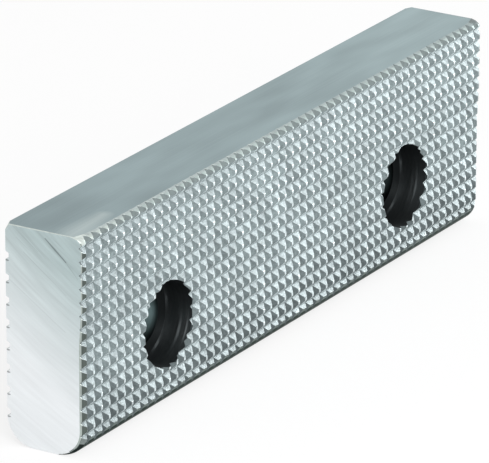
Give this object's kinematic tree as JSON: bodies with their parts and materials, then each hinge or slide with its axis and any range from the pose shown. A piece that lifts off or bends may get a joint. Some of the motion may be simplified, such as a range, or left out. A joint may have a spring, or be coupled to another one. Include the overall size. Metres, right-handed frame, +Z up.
{
  "type": "vise jaw plate",
  "caption": "Hardened steel jaw plate for a machine vise, with pyramid teeth on one face, a grooved grip on the other, rounded lower edges and screw holes bored for heads from both sides.",
  "frame": {"origin": "middle of the underside, halfway along the plate and halfway through its thickness", "axes": "+X along the plate, +Y from the toothed front to the grooved back, +Z up from the rounded lower edge to the flat top edge"},
  "size_m": [0.113, 0.013, 0.033],
  "materials": {
    "jaw_plate": "ground tool steel, bright on the lands, darker in the bored holes"
  },
  "bodies": {
    "root": {"jaw_plate": "jaw_plate"}
  },
  "joints": []
}
